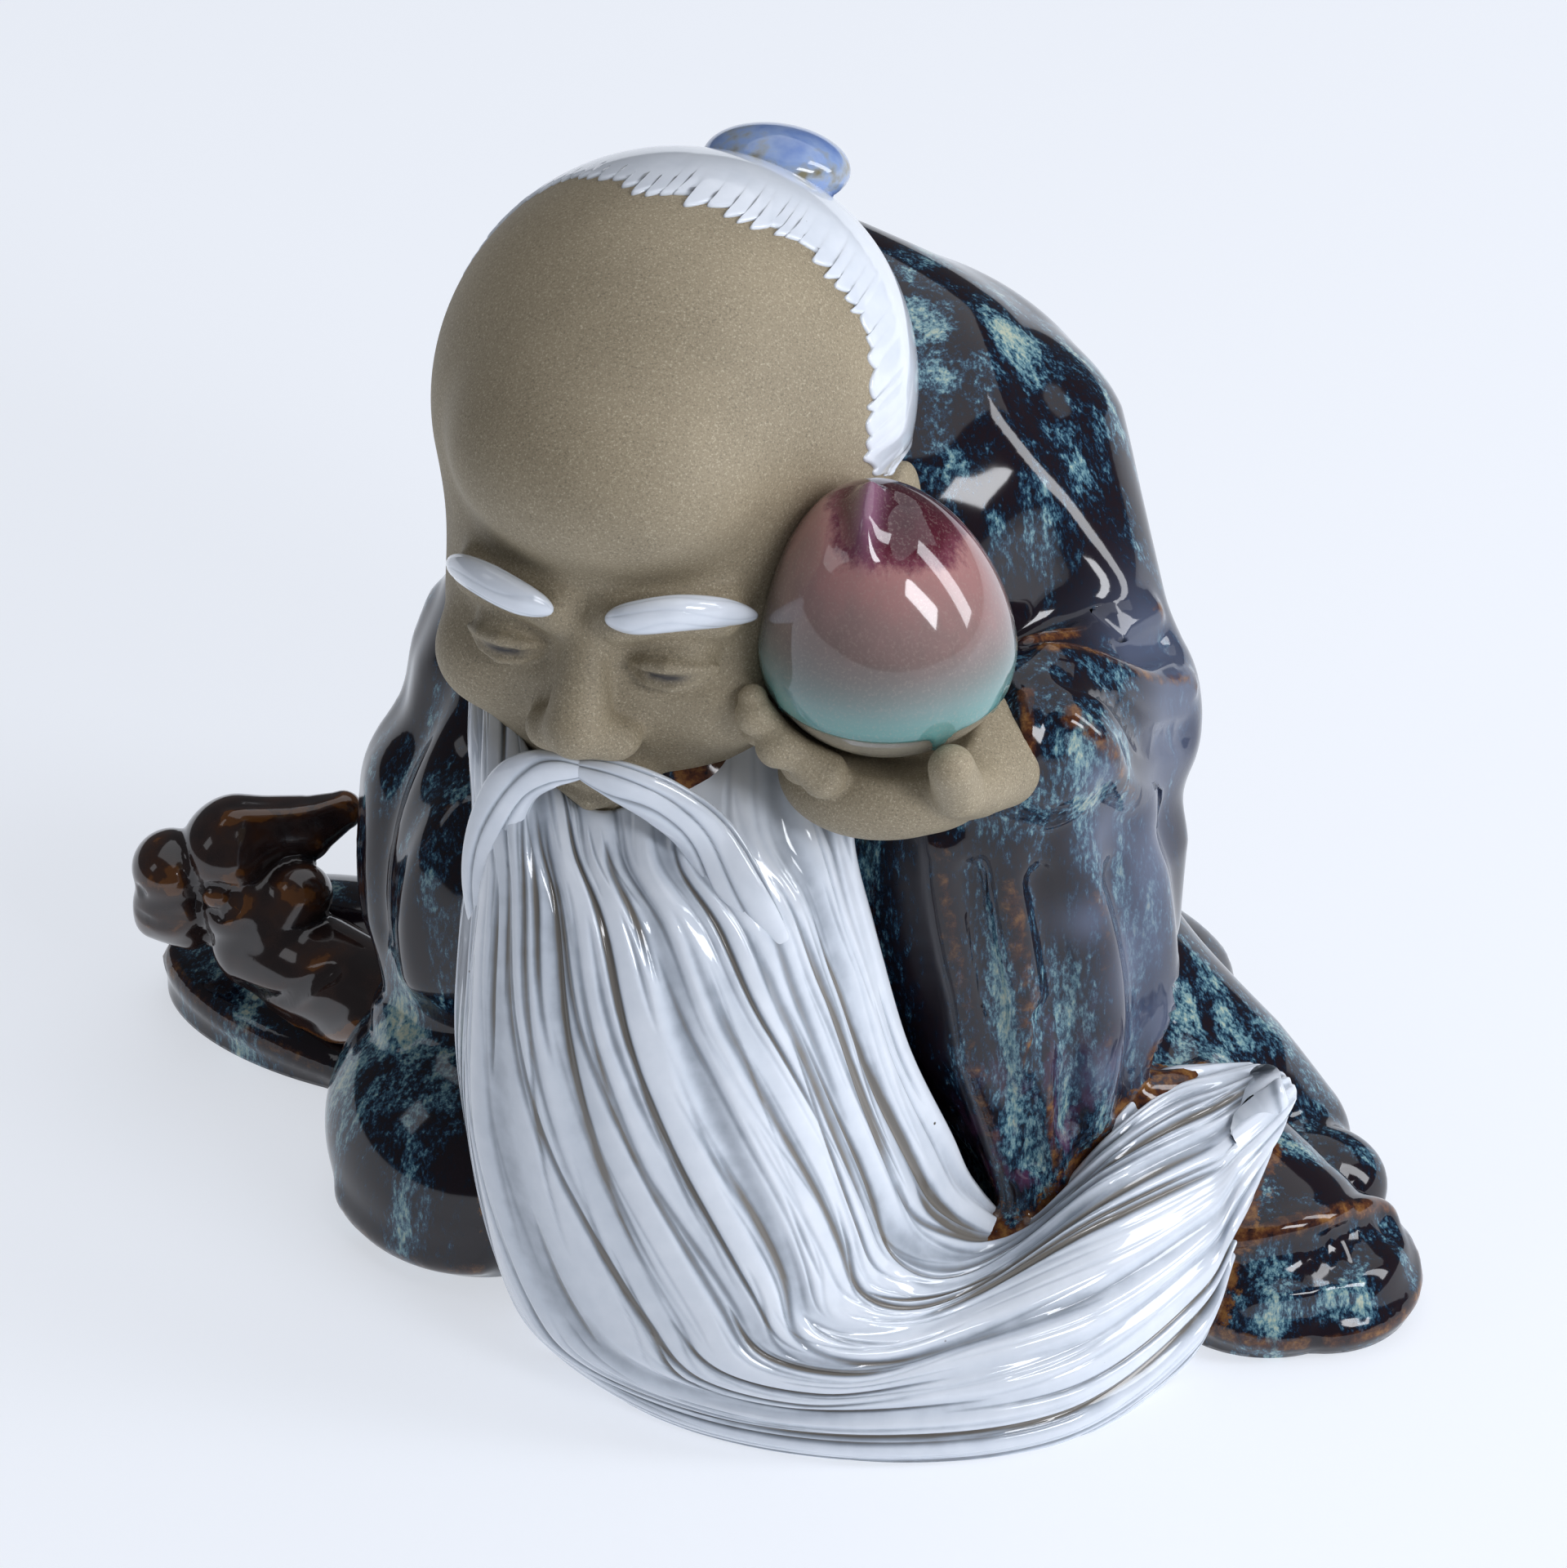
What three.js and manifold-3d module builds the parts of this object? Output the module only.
// Seated old man of long life in glazed stoneware, who holds up a peach and leans on a dragon staff.
// Robe, head, beard, hand, peach and staff are luted together wet and fired as one piece.
// Millimetres. X runs to the right of a person who faces the figure, Y away from them, Z up.

import * as THREE from 'three';
import { mergeVertices } from 'three/addons/utils/BufferGeometryUtils.js';
import { SimplifyModifier } from 'three/addons/modifiers/SimplifyModifier.js';
import Module from 'manifold-3d';

const wasm = await Module();
wasm.setup();

// Driving dimensions
const HEIGHT = 187;
const HEAD_TURN = 17;
const HEAD_NOD = 5;
const PEACH_DIAMETER = 38.5;
const PEACH_HEIGHT = 43;
const TOPKNOT_DIAMETER = 23;
const HAIR_THICKNESS = 1;
const STAFF_DIAMETER = 17;
const CUFF_DIAMETER = 27;
const FINGER_DIAMETER = 7.6;
const LOCK_COUNT = 13;
const LOCK_DEPTH = 1.8;
const BEARD_DEPTH = 10;
const FOLD_DEPTH = 3;
const FOLD_WIDTH = 4;

// Pose and proportions are shares of the height: the forms are drawn in units, this many to the
// height, and S is the size of one unit
const UNIT_COUNT = 187;
const S = HEIGHT / UNIT_COUNT;

// Grid steps and triangle budgets of the modelled clay
const ROBE_STEP = 2.4 * S;
const HEAD_STEP = 1.3 * S;
const CELLS_PER_BLOCK = 4;
const COLUMNS_PER_LOCK = 4;
const BEARD_STEPS = 30;
const ROOM_BELOW = 4 * S;
const ROOM_LOW = [-126, -96, -10].map((value) => value * S);
const ROOM_HIGH = [122, 96, 204].map((value) => value * S);
const ROBE_TRIANGLES = 4600;
const HEAD_TRIANGLES = 3000;
const HAND_TRIANGLES = 1000;
const STAFF_TRIANGLES = 800;
const FIGURE_TRIANGLES = 9600;

const clamp = (value, low, high) => Math.min(high, Math.max(low, value));

// Forms: each gives the distance from a point to its surface, below zero inside the clay
function ellipsoid(centre, radii, turn = [0, 0, 0]) {
  const euler = new THREE.Euler(...turn.map(THREE.MathUtils.degToRad), 'ZYX');
  const m = new THREE.Matrix4().makeRotationFromEuler(euler).transpose().elements;
  const [cx, cy, cz] = centre.map((value) => value * S);
  const [rx, ry, rz] = radii.map((value) => value * S);
  return (x, y, z) => {
    const px = x - cx;
    const py = y - cy;
    const pz = z - cz;
    const qx = (m[0] * px + m[4] * py + m[8] * pz) / rx;
    const qy = (m[1] * px + m[5] * py + m[9] * pz) / ry;
    const qz = (m[2] * px + m[6] * py + m[10] * pz) / rz;
    const near = Math.sqrt(qx * qx + qy * qy + qz * qz);
    const steep = Math.sqrt((qx / rx) ** 2 + (qy / ry) ** 2 + (qz / rz) ** 2);
    return steep > 1e-9 ? near * (near - 1) / steep : -Math.min(rx, ry, rz);
  };
}

// A limb is a round rod through [x, y, z, radius] points
function limb(points) {
  const p = points.map((point) => point.map((value) => value * S));
  return (x, y, z) => {
    let best = Infinity;
    for (let i = 0; i + 1 < p.length; i += 1) {
      const [ax, ay, az, ar] = p[i];
      const [bx, by, bz, br] = p[i + 1];
      const dx = bx - ax;
      const dy = by - ay;
      const dz = bz - az;
      const along = (x - ax) * dx + (y - ay) * dy + (z - az) * dz;
      const t = clamp(along / (dx * dx + dy * dy + dz * dz), 0, 1);
      const away = Math.sqrt((x - ax - t * dx) ** 2 + (y - ay - t * dy) ** 2 + (z - az - t * dz) ** 2);
      best = Math.min(best, away - ar - t * (br - ar));
    }
    return best;
  };
}

const blend = (a, b, k) => {
  const h = Math.max(k - Math.abs(a - b), 0) / k;
  return Math.min(a, b) - h * h * k / 4;
};

// Forms pressed together with a fillet between them
function together(fillet, ...forms) {
  const k = fillet * S;
  return (x, y, z) => forms.reduce((distance, form) => blend(distance, form(x, y, z), k), 1e3);
}

// A form with another pressed into it
function pressed(fillet, form, ...tools) {
  const k = fillet * S;
  return (x, y, z) => -tools.reduce((depth, tool) => blend(depth, tool(x, y, z), k), -form(x, y, z));
}

// Walks a point of the drawing to the nearest place on a form
function onSurface(form, point) {
  let p = point.map((value) => value * S);
  const e = 0.01;
  for (let step = 0; step < 12; step += 1) {
    const d = form(...p);
    const g = [0, 1, 2].map((axis) => {
      const q = [...p];
      q[axis] += e;
      return (form(...q) - d) / e;
    });
    const size = Math.max(g[0] ** 2 + g[1] ** 2 + g[2] ** 2, 0.05);
    p = p.map((value, axis) => value - 0.9 * d * g[axis] / size);
  }
  return p.map((value) => value / S);
}

// Folds: rounded ridges, or grooves where the share is below zero, along points laid on a form
function folded(form, folds) {
  const made = folds.map(([points, share, wide = 1]) => {
    const curve = new THREE.CatmullRomCurve3(points.map((p) => new THREE.Vector3(...onSurface(form, p))));
    const laid = curve.getPoints(points.length * 4).map((p) => [...onSurface(form, [p.x, p.y, p.z]), 0]);
    const width = wide * FOLD_WIDTH;
    const corners = laid.map(([x, y, z]) => new THREE.Vector3(x, y, z).multiplyScalar(S));
    const box = new THREE.Box3().setFromPoints(corners);
    return { line: limb(laid), depth: share * FOLD_DEPTH, width, reach: box.expandByScalar(2.5 * width) };
  });
  return (x, y, z) => {
    let distance = form(x, y, z);
    if (Math.abs(distance) > 4 * FOLD_WIDTH) return distance;
    for (const { line, depth, width, reach } of made) {
      const { min, max } = reach;
      const beside = x < min.x || x > max.x || y < min.y || y > max.y || z < min.z || z > max.z;
      if (!beside) distance -= depth * Math.exp(-((line(x, y, z) / width) ** 2));
    }
    return distance;
  };
}

// Robe: hunched back, seat and trailing hem, both knees, and the clay that carries the beard
const back = together(20, ellipsoid([8, 25, 72], [53, 52, 76]), ellipsoid([15, 25, 120], [37, 34, 27]));
const seat = ellipsoid([4, 27, 2], [76, 52, 34]);
const hem = ellipsoid([-69, 37, 0], [37, 21, 24], [0, 0, -24]);
const kneeLeft = ellipsoid([-46, -8, 13], [27, 30, 24]);
const kneeRight = limb([[44, -8, 18, 25], [79, -35, 5, 19], [88, -37, 3, 15.5]]);
const hip = limb([[52, 4, 34, 14], [74, 0, 14, 13], [84, 0, 2, 12]]);
const footRight = ellipsoid([89, -13, 3], [12, 10, 10]);
const breast = ellipsoid([-14, -20, 60], [31, 34, 60]);
const lap = limb([[-22, -28, 12, 19], [8, -50, 8, 19], [34, -46, 6, 13], [62, -32, 13, 11]]);
const trunk = together(22, back, seat, hip);
const belly = ellipsoid([18, -27, 4], [26, 15, 17]);
const legs = together(6, kneeLeft, kneeRight, breast, lap, belly);

// Sleeves: the left one hangs to the staff, the right one is drawn up and drapes from the forearm
const armLeft = together(8, limb([[-26, 20, 116, 18.5], [-39, 14, 84, 18.5], [-45, 8, 54, 18]]),
  ellipsoid([-47, 0, 56], [15, 22, 27], [0, 4, 0]), limb([[-56, 12, 66, 9], [-54, -4, 36, 8]]));
const armRight = limb([[36, 20, 122, 21], [51, 0, 94, 14], [52, -4, 86, 13]]);
const forearm = limb([[52, -4, 90, 15], [40, -31, 105, CUFF_DIAMETER / 2 / S]]);
const sleeveRight = together(8, ellipsoid([36, -23, 64], [25, 18, 48], [4, -9, 0]),
  limb([[42, -33, 22, 7], [38, -28, 48, 14]]), limb([[58, -14, 40, 6], [56, -10, 70, 10]]));
const sleeve = together(7, armRight, forearm, sleeveRight);
const collar = limb([[28, 4, 128, 9], [27, 20, 140, 10], [8, 34, 145, 11], [-20, 30, 138, 10]]);
const dress = together(3, together(5, together(10, trunk, collar, armLeft), legs, hem), sleeve, footRight);

const robe = folded(dress, [
  // sleeve that drapes from the raised forearm
  [[[25, -44, 90], [30, -44, 60], [38, -40, 24]], 0.9],
  [[[36, -42, 90], [40, -44, 60], [43, -40, 24]], 1],
  [[[46, -36, 88], [51, -36, 60], [50, -34, 34]], 0.9],
  [[[56, -24, 84], [59, -24, 62], [60, -20, 44]], 0.8],
  [[[30, -44, 86], [35, -46, 58], [40, -42, 30]], -0.8, 0.7],
  [[[41, -42, 84], [46, -42, 58], [46, -38, 36]], -0.9, 0.7],
  [[[51, -32, 80], [55, -30, 60], [55, -28, 42]], -0.9, 0.7],
  [[[58, -20, 52], [56, -25, 42], [60, -28, 34], [68, -20, 31]], 1, 0.6],
  [[[63, -16, 48], [62, -19, 41], [66, -18, 36]], -2.4, 1],
  // left sleeve and its mouth above the staff
  [[[-40, -14, 96], [-50, -12, 74], [-56, -16, 48]], 0.7],
  [[[-58, 24, 96], [-62, 20, 72], [-66, 6, 44]], 0.8],
  [[[-54, 2, 96], [-58, 2, 74], [-64, -6, 50]], -0.7, 0.9],
  [[[-66, 24, 56], [-66, 8, 34], [-58, -12, 30]], 0.9, 0.6],
  // creases in the crook of the elbow
  [[[40, -20, 124], [52, -12, 116], [64, -4, 112]], 1, 0.5],
  [[[41, -24, 119], [53, -16, 110], [64, -6, 106]], -1.1, 0.5],
  [[[42, -28, 116], [54, -19, 105], [66, -8, 99]], 1, 0.5],
  [[[43, -32, 112], [54, -24, 100], [64, -12, 92]], -0.9, 0.5],
  [[[43, -36, 110], [50, -30, 98], [58, -20, 84]], 0.8, 0.6],
  // robe drawn over the knees
  [[[74, -47, 19], [86, -43, 20], [97, -35, 18], [103, -28, 14]], 0.5, 0.6],
  [[[73, -50, 15], [86, -47, 15], [99, -37, 14]], -1.5, 0.75],
  [[[69, -54, 5.5], [84, -54, 3.5], [98, -47, 3.5], [104, -38, 4.5], [105, -29, 7]], 0.6, 0.5],
  [[[-70, -22, 6], [-60, -32, 5], [-48, -38, 5]], 0.7, 0.8],
  // hem, lap and back
  [[[-104, 46, 7], [-94, 28, 7], [-80, 16, 6], [-66, 8, 5]], 0.9, 0.6],
  [[[-100, 44, 13], [-88, 28, 14], [-72, 18, 13]], -1.1, 0.8],
  [[[20, 76, 100], [34, 78, 60], [58, 70, 18]], 0.9, 1.6],
  [[[-14, 76, 100], [-20, 80, 60], [-34, 80, 16]], 0.9, 1.6],
  [[[2, 80, 80], [4, 82, 50], [8, 82, 12]], -0.7, 1.6],
  [[[54, 34, 90], [62, 38, 50], [78, 40, 14]], 0.8, 1.6],
  [[[-44, 40, 90], [-48, 44, 56], [-60, 56, 22]], 0.8, 1.6],
]);

// Head, upright and facing the front, about the middle of the skull
const headPlace = [-16, -8, 151];
const nod = new THREE.Matrix4().makeRotationX(THREE.MathUtils.degToRad(HEAD_NOD));
const headTurn = new THREE.Matrix4().makeRotationZ(THREE.MathUtils.degToRad(-HEAD_TURN)).multiply(nod);
const toHead = headTurn.clone().transpose().elements;
function onHead(form) {
  const [cx, cy, cz] = headPlace.map((value) => value * S);
  const m = toHead;
  return (x, y, z) => {
    const px = x - cx;
    const py = y - cy;
    const pz = z - cz;
    return form(m[0] * px + m[4] * py + m[8] * pz, m[1] * px + m[5] * py + m[9] * pz,
      m[2] * px + m[6] * py + m[10] * pz);
  };
}
const bothSides = (form) => (x, y, z) => form(Math.abs(x), y, z);
const skull = ellipsoid([0, 2, 0], [35.5, 39, 35]);
const forehead = ellipsoid([0, -23, 7], [25, 21, 17]);
const jaw = ellipsoid([0, -15, -27], [30, 27, 30]);
const neck = limb([[4, 16, -34, 25], [0, 4, -16, 26]]);
const cheek = ellipsoid([17, -30, -29], [10.5, 9.5, 9.5]);
const browRidge = limb([[5, -39, -12, 3.4], [19, -34, -12, 3.4]]);
const socket = ellipsoid([12.5, -44, -19], [7.5, 6, 3.6]);
const eye = ellipsoid([12.5, -36.8, -19], [6, 5, 4]);
const nostril = ellipsoid([5, -43, -31], [4, 4.5, 3.4]);
const nose = together(3, limb([[0, -39, -15, 3], [0, -46, -28, 5]]), bothSides(nostril));
const upperLip = limb([[-7, -40.5, -41, 2], [0, -43.2, -40, 2.4], [7, -40.5, -41, 2]]);
const lowerLip = limb([[-5, -40, -43.8, 1.8], [0, -42, -44.4, 2.4], [5, -40, -43.8, 1.8]]);
const lips = together(1, upperLip, lowerLip, ellipsoid([0, -36, -41], [9, 6, 7]));
const chin = ellipsoid([0, -36, -53], [11, 8, 8]);
const earRight = pressed(2, ellipsoid([34, 4, -24], [4, 8, 15], [0, 8, 0]), ellipsoid([39, 1, -22], [3, 4.5, 9]));
const earLeft = ellipsoid([-31, 13, -24], [4, 8, 14], [0, -8, 0]);
const face = together(3, together(4, together(9, skull, jaw, neck), forehead), bothSides(cheek), chin);
const features = together(2, pressed(4, together(4, face, bothSides(browRidge)), bothSides(socket)),
  bothSides(eye), nose, lips, earRight, earLeft);
const hairCut = (x, y, z) => 4 * S - y + 0.1 * Math.abs(x) + 0.12 * z;
const hair = (x, y, z) => Math.max(skull(x, y, z) - HAIR_THICKNESS, hairCut(x, y, z), -26 * S - z);
const knot = TOPKNOT_DIAMETER / 2 / S;
const topknot = together(0.6, ellipsoid([8, 33.7, 21.6], [knot, knot * 0.9, 6.2], [-30, 0, 0]),
  ellipsoid([7.5, 29.5, 15.8], [knot + 1.4, knot + 0.6, 3.6], [-33, 0, 0]));
const browHair = limb([[4.5, -42.5, -9.5, 1.8], [10, -42.2, -8, 2.5], [16, -39.5, -8.2, 2.6],
  [23, -33, -12.5, 1.9]]);
const moustacheRight = limb([[-1, -45.4, -36.2, 2.6], [6, -46, -36.8, 2.7], [13, -44.5, -41, 3.2],
  [19, -43, -48, 3.6], [25, -45.5, -58, 3.8], [30, -45, -72, 3]]);
const moustacheLeft = limb([[1, -45.4, -36.2, 2.6], [-5, -46, -37, 2.6], [-10, -44, -41, 3.2],
  [-13, -44.5, -48.5, 3.6], [-15.5, -46.5, -60, 3.4], [-17, -46, -74, 2.8]]);
const head = onHead(together(1.2, features, hair, topknot, bothSides(browHair), moustacheRight, moustacheLeft));

// Peach: flat below its widest place, and drawn to a point above it that is pinched into a crest
const PEACH_FOOT_SHARE = 0.377;
const PEACH_TAPER = 0.14;
const PEACH_LEAN = 2.5;
const peachRadius = PEACH_DIAMETER / 2 / S;
const peachBelow = PEACH_FOOT_SHARE * PEACH_HEIGHT / S;
const peachAbove = PEACH_HEIGHT / S - peachBelow;
const peachPlace = [17.5, -42, 113 + peachBelow];
function fruit(x, y, z) {
  const [px, py, pz] = [x, y, z].map((value, axis) => value / S - peachPlace[axis]);
  const rise = pz / (pz > 0 ? peachAbove : peachBelow);
  const above = clamp(rise, 0, 1);
  const around = peachRadius * (1 - PEACH_TAPER * above);
  return (Math.hypot((px + PEACH_LEAN * above ** 2) / around, py / around, rise) - 1) * peachBelow * S;
}
const [peachX, peachY, peachZ] = peachPlace;
const peachTop = peachZ + peachAbove;
const crest = limb([[peachX - 3, peachY - 3, peachTop - 0.8, 1.2],
  [peachX - 3.4, peachY - 5.6, peachTop - 2, 1.8], [peachX - 3.8, peachY - 11, peachTop - 7.4, 1.2]]);
const peach = together(1, fruit, crest);

// Hand cupped under the peach: along a finger are its turn, elevation and share of the radius, from
// the tip over two joints to the palm
const finger = FINGER_DIAMETER / 2 / S;
const fingerLine = [[-9, -16, 0.75], [-3, -24, 0.95], [2, -31, 0.8], [9, -39, 1], [26, -50, 1.1]];
function againstPeach(azimuth, elevation, radius) {
  const [a, e] = [azimuth, elevation].map(THREE.MathUtils.degToRad);
  const way = [Math.cos(a) * Math.cos(e), Math.sin(a) * Math.cos(e), Math.sin(e)];
  const reach = [peachRadius, peachRadius, peachBelow].map((value) => value + 0.85 * radius);
  return [...peachPlace.map((value, axis) => value + reach[axis] * way[axis]), radius];
}
const palm = ellipsoid([19, -42, 108], [18, 15.5, 10], [0, -8, 0]);
const hollow = ellipsoid([17, -47, 129], [21, 20, 17]);
const fingers = [204, 182, 160, 138].map((azimuth) => limb(fingerLine.map(
  ([turn, elevation, share]) => againstPeach(azimuth + turn, elevation, share * finger))));
const thumb = limb([[33, -43, 106, 6], [32, -51, 109, 1.2 * finger], [30, -56, 114, finger],
  againstPeach(302, -28, 0.95 * finger)]);
const wrist = limb([[24, -41, 107, 10.5], [38, -31, 107, 9]]);
const cup = pressed(1, together(3, palm, wrist), hollow);
const cupped = together(1, together(0.8, cup, ...fingers), thumb);
const hand = together(0.8, cupped, peach);

// Staff: dragon's head with muzzle, brow running into a swept horn, cheek and eye; its neck runs in
// under the sleeve
const staffRadius = STAFF_DIAMETER / 2 / S;
const muzzle = together(2.5, ellipsoid([-101, 37, 31.5], [6.4, 7.5, 5.6], [0, -10, 0]),
  ellipsoid([-100.5, 36, 24.5], [7, 6.6, 6.2]), limb([[-98, 36, 19.5, 4], [-104, 36, 21, 3]]));
const dragonBrow = together(3, ellipsoid([-91, 38, 34.5], [8, 9, 7.6]),
  limb([[-89, 39, 37, 6], [-79, 41, 36, 5.8], [-72, 43, 38.5, 3.4]]));
const dragonCheek = together(2, ellipsoid([-87, 35, 25.5], [9.5, 8.5, 8]),
  limb([[-79, 32, 29, 5.6], [-83, 29, 23, 4.4], [-86, 30, 19, 3]]));
const staffNeck = limb([[-86, 34, 18, staffRadius], [-75, 27, 16.5, 1.12 * staffRadius],
  [-56, 10, 18, staffRadius]]);
const dragonEye = ellipsoid([-92.5, 30.4, 30], [2.7, 2.2, 2.3]);
const eyeHollow = ellipsoid([-92.5, 28.6, 30], [4.2, 3, 3.4]);
const dragonHead = together(1.4, muzzle, dragonBrow, dragonCheek, staffNeck);
const staff = together(0.6, pressed(0.8, dragonHead, eyeHollow), dragonEye);

// Beard: a sheet of locks laid over breast and lap. Each row goes across it, from the outer edge,
// which meets the ground in the bend, to the inner edge along the sleeve; the last row is the tip.
const beardRows = [
  [[-46.7, -17, 112], [-39.7, -32, 108], [-25.8, -44.4, 100], [-4, -37, 108], [10, -31, 113]],
  [[-46.5, -27, 104], [-40, -44, 101], [-25, -50, 95], [-4, -49, 98], [13, -36, 101]],
  [[-46, -31, 92], [-40, -50, 90], [-22, -58, 88], [0, -55, 88], [13.5, -40, 90]],
  [[-48, -33, 72], [-42, -55, 70], [-22, -65, 70], [1, -61, 72], [17, -41, 75]],
  [[-49, -35, 50], [-43, -58, 46], [-20, -70, 47], [4, -66, 52], [22, -42, 56]],
  [[-46, -37, 24], [-39, -60, 20], [-15, -74, 27], [9, -69, 36], [29, -41, 38]],
  [[-38, -43, 0], [-31, -63, 8], [-8, -77, 18], [14, -69, 27], [33, -40, 26]],
  [[-18, -66, -2], [-8, -75, 6], [10, -78, 15], [24, -66, 22], [39, -38, 17]],
  [[14, -77, -2], [19, -79.5, 7], [28, -74, 17], [36, -59, 22], [46, -36, 20]],
  [[45, -73, -2], [47, -73, 8], [50, -65, 20], [53, -48, 29], [55.4, -30, 31.5]],
  [[66, -57, 1], [67, -54, 12], [68, -47, 23], [66, -35, 31.5], [61.6, -22, 34]],
  [[71.5, -49, 12], [74, -45, 21.5], [74.8, -37, 28], [73.5, -28, 32.5], [69, -19, 33]],
  [[76.2, -33, 23.5], [80.5, -29, 27.5], [84.8, -23, 29.5], [83, -18, 30.5], [77, -15, 29.5]],
];
const beardColumns = LOCK_COUNT * COLUMNS_PER_LOCK;
const rowCurves = beardRows.map((row) => new THREE.CatmullRomCurve3(row.map((p) => new THREE.Vector3(...p))));

function beardPoint(across, along) {
  const column = rowCurves.map((curve) => curve.getPoint(across));
  return new THREE.CatmullRomCurve3(column).getPoint(along);
}

function beardGeometry() {
  const vertices = [];
  const rows = BEARD_STEPS + 1;
  const columns = beardColumns + 1;
  const e = 1e-3;
  for (let j = 0; j < rows; j += 1) {
    const along = j / BEARD_STEPS;
    const outer = beardPoint(0, along);
    const inner = beardPoint(1, along);
    const bulge = beardPoint(0.5, along).sub(outer.clone().add(inner).multiplyScalar(0.5)).normalize();
    for (let i = 0; i < columns; i += 1) {
      const even = i / beardColumns;
      const across = even + 0.02 * Math.sin(Math.PI * even) * Math.sin(6 * along + 9 * even);
      const p = beardPoint(across, along);
      const du = beardPoint(Math.min(across + e, 1), along).sub(beardPoint(Math.max(across - e, 0), along));
      const dv = beardPoint(across, Math.min(along + e, 1)).sub(beardPoint(across, Math.max(along - e, 0)));
      const out = du.cross(dv).normalize().negate();
      const lock = Math.abs(Math.sin(Math.PI * LOCK_COUNT * even)) - 0.5;
      const edge = Math.min(1, 8 * even, 8 * (1 - even), 12 * (1 - along));
      vertices.push(p.addScaledVector(out, lock * edge * LOCK_DEPTH / S));
      const share = Math.sin(Math.PI * across);
      const behind = outer.clone().lerp(inner, across).addScaledVector(bulge, -share * BEARD_DEPTH);
      vertices.push(behind);
    }
  }
  const front = (i, j) => 2 * (i + columns * j);
  const behind = (i, j) => (i === 0 || i === columns - 1 ? front(i, j) : front(i, j) + 1);
  const triangles = [];
  const quad = (a, b, c, d) => {
    for (const t of [[a, b, c], [a, c, d]]) if (new Set(t).size === 3) triangles.push(...t);
  };
  for (let j = 0; j + 1 < rows; j += 1) {
    for (let i = 0; i + 1 < columns; i += 1) {
      quad(front(i, j), front(i, j + 1), front(i + 1, j + 1), front(i + 1, j));
      quad(behind(i, j), behind(i + 1, j), behind(i + 1, j + 1), behind(i, j + 1));
    }
  }
  for (let i = 0; i + 1 < columns; i += 1) {
    quad(front(i, 0), front(i + 1, 0), behind(i + 1, 0), behind(i, 0));
    quad(front(i, rows - 1), behind(i, rows - 1), behind(i + 1, rows - 1), front(i + 1, rows - 1));
  }
  const geometry = new THREE.BufferGeometry().setFromPoints(vertices.map((p) => p.multiplyScalar(S)));
  geometry.setIndex(triangles);
  return geometry;
}

// Surface of a field: every cell of a grid is split into six wedges, and each wedge is cut where the
// field changes sign, so the skin is closed whatever the sizes are
function surfaceOf(field, low, high, cell) {
  const n = low.map((value, axis) => Math.ceil((high[axis] - value) / cell) + 1);
  const steps = [1, n[0], n[0] * n[1]];
  const values = new Float32Array(n[0] * n[1] * n[2]);
  const at = (i, j, k) => field(low[0] + i * cell, low[1] + j * cell, low[2] + k * cell);
  const half = CELLS_PER_BLOCK / 2;
  for (let k = 0; k < n[2]; k += CELLS_PER_BLOCK) {
    for (let j = 0; j < n[1]; j += CELLS_PER_BLOCK) {
      for (let i = 0; i < n[0]; i += CELLS_PER_BLOCK) {
        const middle = at(i + half, j + half, k + half);
        const far = Math.abs(middle) > 2.8 * half * cell;
        for (let c = k; c < Math.min(k + CELLS_PER_BLOCK, n[2]); c += 1) {
          for (let b = j; b < Math.min(j + CELLS_PER_BLOCK, n[1]); b += 1) {
            for (let a = i; a < Math.min(i + CELLS_PER_BLOCK, n[0]); a += 1) {
              values[a + steps[1] * b + steps[2] * c] = far ? middle : at(a, b, c);
            }
          }
        }
      }
    }
  }
  const corner = [0, 1, 2, 3, 4, 5, 6, 7].map((bits) => (
    (bits & 1 ? steps[0] : 0) + (bits & 2 ? steps[1] : 0) + (bits & 4 ? steps[2] : 0)));
  const wedges = [[0, 1, 3, 7], [0, 3, 2, 7], [0, 2, 6, 7], [0, 6, 4, 7], [0, 4, 5, 7], [0, 5, 1, 7]];
  const positions = [];
  const triangles = [];
  const seen = new Map();
  const place = (index) => {
    const k = Math.floor(index / steps[2]);
    const j = Math.floor((index - k * steps[2]) / steps[1]);
    return [index - k * steps[2] - j * steps[1], j, k];
  };
  const crossing = (a, b) => {
    const [first, second] = a < b ? [a, b] : [b, a];
    const key = first * 8 + corner.indexOf(second - first);
    if (seen.has(key)) return seen.get(key);
    const t = clamp(values[first] / (values[first] - values[second]), 0.05, 0.95);
    const p = place(first);
    const q = place(second);
    p.forEach((value, axis) => positions.push(low[axis] + (value + t * (q[axis] - value)) * cell));
    seen.set(key, positions.length / 3 - 1);
    return positions.length / 3 - 1;
  };
  for (let k = 0; k < n[2] - 1; k += 1) {
    for (let j = 0; j < n[1] - 1; j += 1) {
      for (let i = 0; i < n[0] - 1; i += 1) {
        const here = i + steps[1] * j + steps[2] * k;
        let inside = 0;
        for (const offset of corner) inside += values[here + offset] < 0;
        if (inside === 0 || inside === 8) continue;
        for (const wedge of wedges) cutWedge(wedge.map((c) => here + corner[c]), values, crossing, triangles);
      }
    }
  }
  const geometry = new THREE.BufferGeometry();
  geometry.setAttribute('position', new THREE.Float32BufferAttribute(positions, 3));
  geometry.setIndex(triangles);
  return geometry;
}

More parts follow.
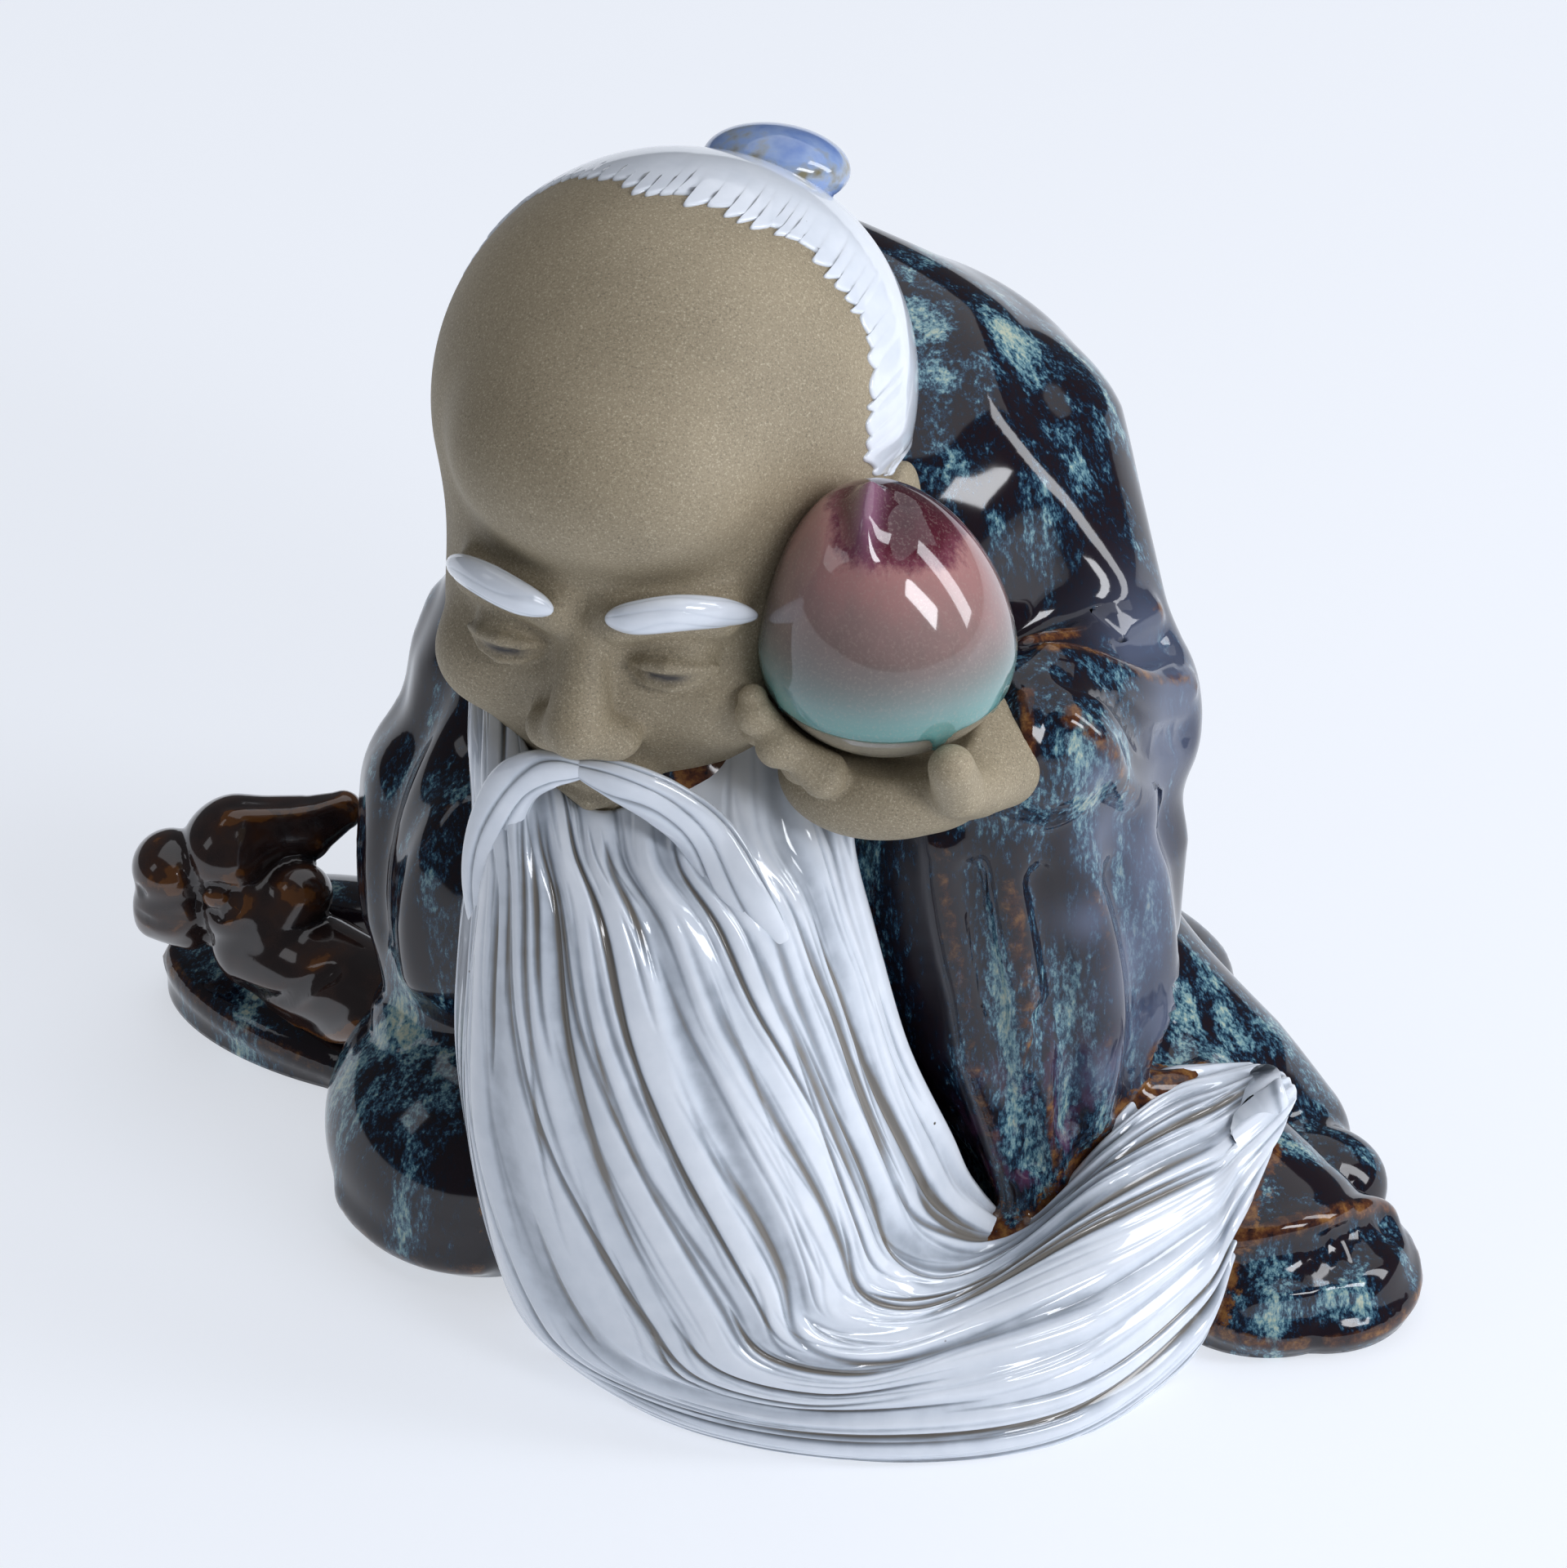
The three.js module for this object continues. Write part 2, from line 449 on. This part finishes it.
// One wedge gives no, one or two triangles, which face out of the clay
function cutWedge(wedge, values, crossing, triangles) {
  const inner = [0, 1, 2, 3].filter((c) => values[wedge[c]] < 0);
  const outer = [0, 1, 2, 3].filter((c) => values[wedge[c]] >= 0);
  if (inner.length === 0 || outer.length === 0) return;
  const order = [...inner, ...outer];
  let swaps = 0;
  for (let a = 0; a < 4; a += 1) for (let b = a + 1; b < 4; b += 1) swaps += order[a] > order[b];
  const [a, b, c, d] = order.map((at) => wedge[at]);
  const add = (p, q, r) => triangles.push(...(swaps % 2 ? [p, r, q] : [p, q, r]));
  if (inner.length === 1) add(crossing(a, b), crossing(a, c), crossing(a, d));
  if (inner.length === 3) add(crossing(a, d), crossing(b, d), crossing(c, d));
  if (inner.length === 2) {
    add(crossing(a, c), crossing(a, d), crossing(b, c));
    add(crossing(b, c), crossing(a, d), crossing(b, d));
  }
}

function solidOf(geometry) {
  geometry.deleteAttribute('normal');
  geometry.deleteAttribute('uv');
  const merged = mergeVertices(geometry, 1e-4);
  return new wasm.Manifold(new wasm.Mesh({
    numProp: 3,
    vertProperties: new Float32Array(merged.attributes.position.array),
    triVerts: new Uint32Array(merged.index.array),
  }));
}

function geometryOf(solid) {
  const { vertProperties, triVerts } = solid.getMesh();
  const geometry = new THREE.BufferGeometry();
  geometry.setAttribute('position', new THREE.BufferAttribute(vertProperties, 3));
  return geometry.setIndex(new THREE.BufferAttribute(triVerts, 1));
}

// A closed skin has twice as many triangles as points
function thinned(skin, triangles) {
  const spare = skin.attributes.position.count - triangles / 2;
  return spare > 0 ? new SimplifyModifier().modify(skin, spare) : skin;
}

// Air shut in between two lumps of clay is filled
function pocketsFilled(solid) {
  return wasm.Manifold.compose(solid.decompose().filter((piece) => piece.volume() > 0));
}

// Models one lump of clay, down to just below the ground
async function modelled(form, step, triangles) {
  const field = (x, y, z) => Math.max(form(x, y, z), -ROOM_BELOW - z);
  const skin = surfaceOf(field, ROOM_LOW, ROOM_HIGH, step);
  return solidOf(await thinned(skin, triangles));
}

const robeSolid = await modelled(robe, ROBE_STEP, ROBE_TRIANGLES);
const headSolid = await modelled(head, HEAD_STEP, HEAD_TRIANGLES);
const handSolid = await modelled(hand, HEAD_STEP, HAND_TRIANGLES);
const staffSolid = await modelled(staff, HEAD_STEP, STAFF_TRIANGLES);
const beardSolid = solidOf(beardGeometry());
const ground = solidOf(new THREE.BoxGeometry(4 * HEIGHT, 4 * HEIGHT, HEIGHT).translate(0, 0, -HEIGHT / 2));
const lumps = pocketsFilled(robeSolid.add(headSolid).add(handSolid).add(staffSolid).add(beardSolid));
const thinSolid = solidOf(await thinned(geometryOf(lumps), FIGURE_TRIANGLES));
const figureSolid = pocketsFilled(thinSolid.subtract(ground));

const stoneware = new THREE.MeshStandardMaterial({ color: '#26303c', roughness: 0.25, metalness: 0 });
const figure = new THREE.Mesh(geometryOf(figureSolid), stoneware);
figure.name = 'figure';
const part = new THREE.Group();
part.add(figure);
export default part;
